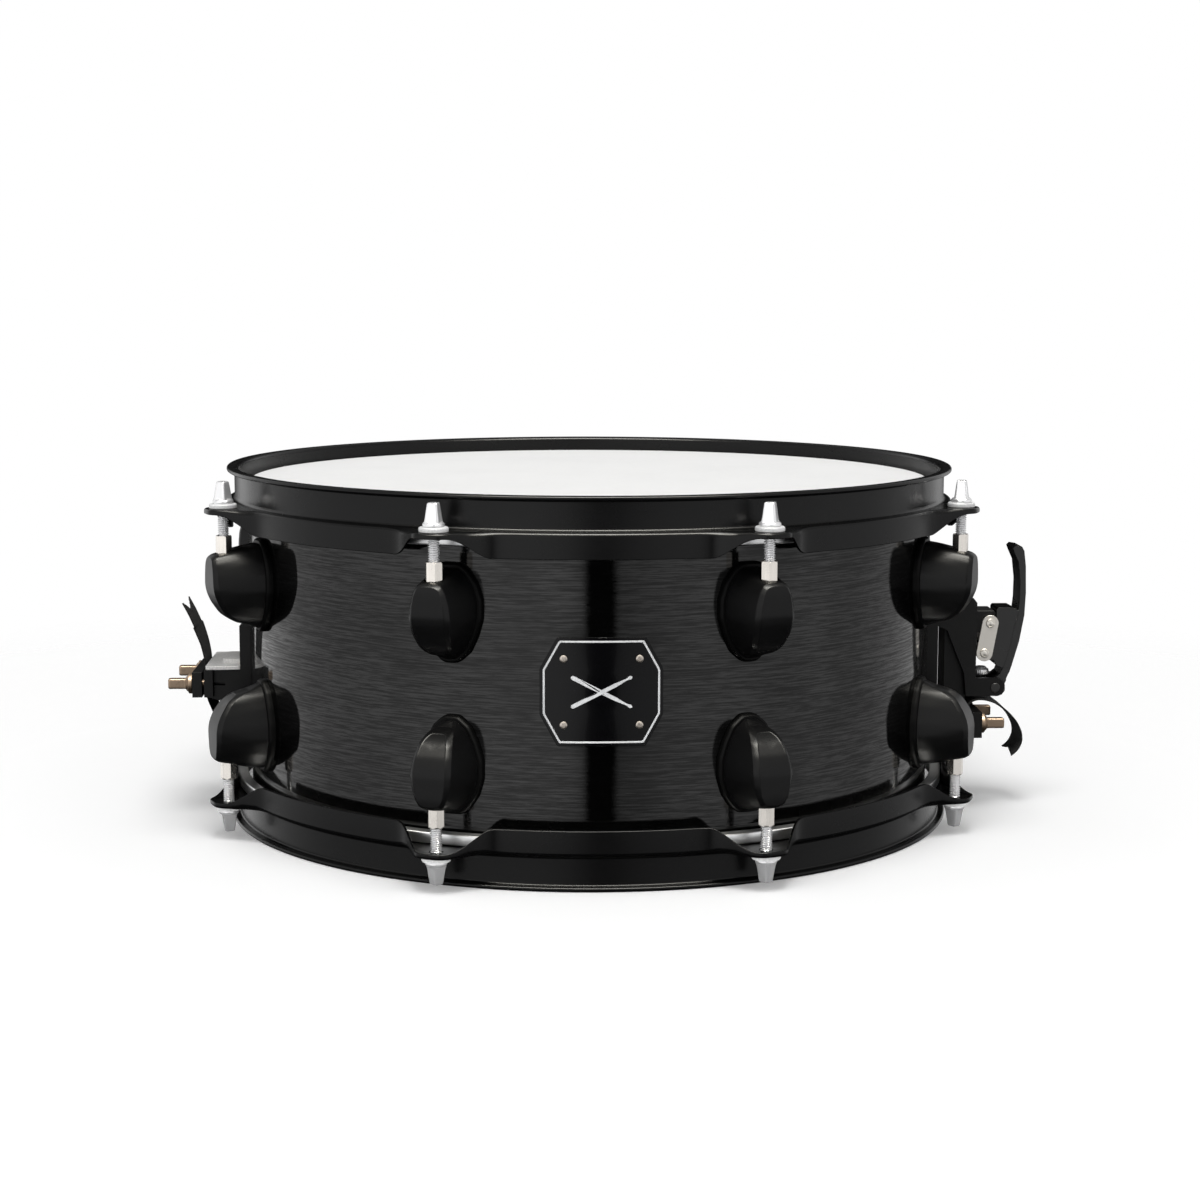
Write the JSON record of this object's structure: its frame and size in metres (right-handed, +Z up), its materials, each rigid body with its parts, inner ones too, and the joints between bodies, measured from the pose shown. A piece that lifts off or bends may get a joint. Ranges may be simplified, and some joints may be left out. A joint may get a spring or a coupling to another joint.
{
  "type": "snare drum",
  "caption": "Snare drum with a black stained wooden shell, flanged black steel hoops, lugs with tension rods, side-lever throw-off, butt plate and coiled snare wires.",
  "frame": {"origin": "on the drum's axis, in the plane of the lower hoop's rim that the drum stands on", "axes": "+Z up along the drum's axis to the batter head, badge facing -Y, throw-off facing +X, butt plate facing -X"},
  "size_m": [0.4468, 0.3828, 0.1802],
  "materials": {
    "stained_shell": "black stain over a faint horizontal grain, high gloss lacquer",
    "badge_enamel": "black enamel with raised pale lines",
    "bronze_screws": "dull dark bronze plating",
    "grommet_steel": "polished",
    "coated_film": "fine matte coating",
    "clear_film": "thin hazy film",
    "flesh_hoop_aluminium": "drawn aluminium",
    "hoop_black": "satin black powder coat",
    "lug_black": "satin black coat on die casting",
    "gasket_rubber": "matte",
    "nut_nickel": "satin nickel",
    "dark_steel": "black oxide",
    "zinc_steel": "zinc plated",
    "nylon_white": "moulded nylon",
    "rod_chrome": "bright plated",
    "cast_black": "semi-matte black on die casting",
    "lever_black": "glossy black",
    "link_steel": "satin nickel plate",
    "strap_webbing": "woven ribbon",
    "wire_steel": "bright steel wire"
  },
  "bodies": {
    "drum": {"shell": "stained_shell", "badge": "badge_enamel", "badge_screws": "bronze_screws", "vent_grommet": "grommet_steel", "batter_head": "coated_film", "batter_flesh_hoop": "flesh_hoop_aluminium", "snare_side_head": "clear_film", "snare_side_flesh_hoop": "flesh_hoop_aluminium", "batter_hoop": "hoop_black", "snare_side_hoop": "hoop_black", "upper_lug_casings": "lug_black", "lower_lug_casings": "lug_black", "upper_lug_gaskets": "gasket_rubber", "lower_lug_gaskets": "gasket_rubber", "upper_swivel_nuts": "nut_nickel", "lower_swivel_nuts": "nut_nickel", "lug_screws": "dark_steel", "lug_screw_washers": "zinc_steel", "upper_rod_washers": "nylon_white", "lower_rod_washers": "nylon_white", "throwoff_frame": "cast_black", "throwoff_mount_screws": "dark_steel", "lever_pivot_pin": "dark_steel", "butt_plate": "cast_black", "butt_clamp_plate": "cast_black", "butt_clamp_screws": "bronze_screws", "butt_strap": "strap_webbing", "butt_mount_screws": "dark_steel", "strainer_screw_washers": "zinc_steel"},
    "lever": {"throwoff_lever": "lever_black"},
    "link": {"toggle_links": "link_steel", "link_pins": "link_steel"},
    "carriage": {"snare_carriage": "cast_black", "throwoff_clamp_plate": "cast_black", "throwoff_clamp_screws": "bronze_screws", "throwoff_strap": "strap_webbing"},
    "tension_screw": {"fine_tension_screw": "rod_chrome"},
    "wires": {"snare_wires": "wire_steel", "snare_end_plate_throwoff": "wire_steel", "snare_end_plate_butt": "wire_steel"},
    "rod_upper_1": {"tension_rod_upper_1": "rod_chrome"},
    "rod_lower_1": {"tension_rod_lower_1": "rod_chrome"},
    "rod_upper_2": {"tension_rod_upper_2": "rod_chrome"},
    "rod_lower_2": {"tension_rod_lower_2": "rod_chrome"},
    "rod_upper_3": {"tension_rod_upper_3": "rod_chrome"},
    "rod_lower_3": {"tension_rod_lower_3": "rod_chrome"},
    "rod_upper_4": {"tension_rod_upper_4": "rod_chrome"},
    "rod_lower_4": {"tension_rod_lower_4": "rod_chrome"},
    "rod_upper_5": {"tension_rod_upper_5": "rod_chrome"},
    "rod_lower_5": {"tension_rod_lower_5": "rod_chrome"},
    "rod_upper_6": {"tension_rod_upper_6": "rod_chrome"},
    "rod_lower_6": {"tension_rod_lower_6": "rod_chrome"},
    "rod_upper_7": {"tension_rod_upper_7": "rod_chrome"},
    "rod_lower_7": {"tension_rod_lower_7": "rod_chrome"},
    "rod_upper_8": {"tension_rod_upper_8": "rod_chrome"},
    "rod_lower_8": {"tension_rod_lower_8": "rod_chrome"}
  },
  "joints": [
    {"name": "rod_upper_1_turn", "type": "hinge", "parent": "drum", "child": "rod_upper_1", "pos_m": [0.07503, -0.18115, 0.1702], "axis": [0, 0, 1], "range_deg": [-360, 360]},
    {"name": "rod_upper_2_turn", "type": "hinge", "parent": "drum", "child": "rod_upper_2", "pos_m": [0.18115, -0.07503, 0.1702], "axis": [0, 0, 1], "range_deg": [-360, 360]},
    {"name": "rod_upper_3_turn", "type": "hinge", "parent": "drum", "child": "rod_upper_3", "pos_m": [0.18115, 0.07503, 0.1702], "axis": [0, 0, 1], "range_deg": [-360, 360]},
    {"name": "rod_upper_4_turn", "type": "hinge", "parent": "drum", "child": "rod_upper_4", "pos_m": [0.07503, 0.18115, 0.1702], "axis": [0, 0, 1], "range_deg": [-360, 360]},
    {"name": "rod_upper_5_turn", "type": "hinge", "parent": "drum", "child": "rod_upper_5", "pos_m": [-0.07503, 0.18115, 0.1702], "axis": [0, 0, 1], "range_deg": [-360, 360]},
    {"name": "rod_upper_6_turn", "type": "hinge", "parent": "drum", "child": "rod_upper_6", "pos_m": [-0.18115, 0.07503, 0.1702], "axis": [0, 0, 1], "range_deg": [-360, 360]},
    {"name": "rod_upper_7_turn", "type": "hinge", "parent": "drum", "child": "rod_upper_7", "pos_m": [-0.18115, -0.07503, 0.1702], "axis": [0, 0, 1], "range_deg": [-360, 360]},
    {"name": "rod_upper_8_turn", "type": "hinge", "parent": "drum", "child": "rod_upper_8", "pos_m": [-0.07503, -0.18115, 0.1702], "axis": [0, 0, 1], "range_deg": [-360, 360]},
    {"name": "rod_lower_1_turn", "type": "hinge", "parent": "drum", "child": "rod_lower_1", "pos_m": [0.07503, -0.18115, 0.01], "axis": [0, 0, 1], "range_deg": [-360, 360]},
    {"name": "rod_lower_2_turn", "type": "hinge", "parent": "drum", "child": "rod_lower_2", "pos_m": [0.18115, -0.07503, 0.01], "axis": [0, 0, 1], "range_deg": [-360, 360]},
    {"name": "rod_lower_3_turn", "type": "hinge", "parent": "drum", "child": "rod_lower_3", "pos_m": [0.18115, 0.07503, 0.01], "axis": [0, 0, 1], "range_deg": [-360, 360]},
    {"name": "rod_lower_4_turn", "type": "hinge", "parent": "drum", "child": "rod_lower_4", "pos_m": [0.07503, 0.18115, 0.01], "axis": [0, 0, 1], "range_deg": [-360, 360]},
    {"name": "rod_lower_5_turn", "type": "hinge", "parent": "drum", "child": "rod_lower_5", "pos_m": [-0.07503, 0.18115, 0.01], "axis": [0, 0, 1], "range_deg": [-360, 360]},
    {"name": "rod_lower_6_turn", "type": "hinge", "parent": "drum", "child": "rod_lower_6", "pos_m": [-0.18115, 0.07503, 0.01], "axis": [0, 0, 1], "range_deg": [-360, 360]},
    {"name": "rod_lower_7_turn", "type": "hinge", "parent": "drum", "child": "rod_lower_7", "pos_m": [-0.18115, -0.07503, 0.01], "axis": [0, 0, 1], "range_deg": [-360, 360]},
    {"name": "rod_lower_8_turn", "type": "hinge", "parent": "drum", "child": "rod_lower_8", "pos_m": [-0.07503, -0.18115, 0.01], "axis": [0, 0, 1], "range_deg": [-360, 360]},
    {"name": "throwoff_lever_swing", "type": "hinge", "parent": "drum", "child": "lever", "pos_m": [0.2135, 0, 0.0619], "axis": [0, 1, 0], "range_deg": [0, 45]},
    {"name": "toggle_link_swing", "type": "hinge", "parent": "lever", "child": "link", "pos_m": [0.2077, 0, 0.08], "axis": [0, 1, 0], "range_deg": [-101.6, 0]},
    {"name": "carriage_slide", "type": "slide", "parent": "drum", "child": "carriage", "axis": [0, 0, -1], "range_m": [0, 0.006], "deforming": ["throwoff_strap"]},
    {"name": "snare_wires_drop", "type": "hinge", "parent": "drum", "child": "wires", "pos_m": [-0.1545, 0, 0.0058], "axis": [0, 1, 0], "range_deg": [0, 0.5]},
    {"name": "fine_tension_turn", "type": "hinge", "parent": "drum", "child": "tension_screw", "pos_m": [0.2079, 0, 0.0694], "axis": [0, 0, 1], "range_deg": [-360, 360]}
  ],
  "couplings": [
    {"joint": "toggle_link_swing", "follows": "throwoff_lever_swing", "ratio": -2.2556},
    {"joint": "carriage_slide", "follows": "throwoff_lever_swing", "m_per_rad": 0.00763},
    {"joint": "snare_wires_drop", "follows": "throwoff_lever_swing", "ratio": 0.0111}
  ]
}
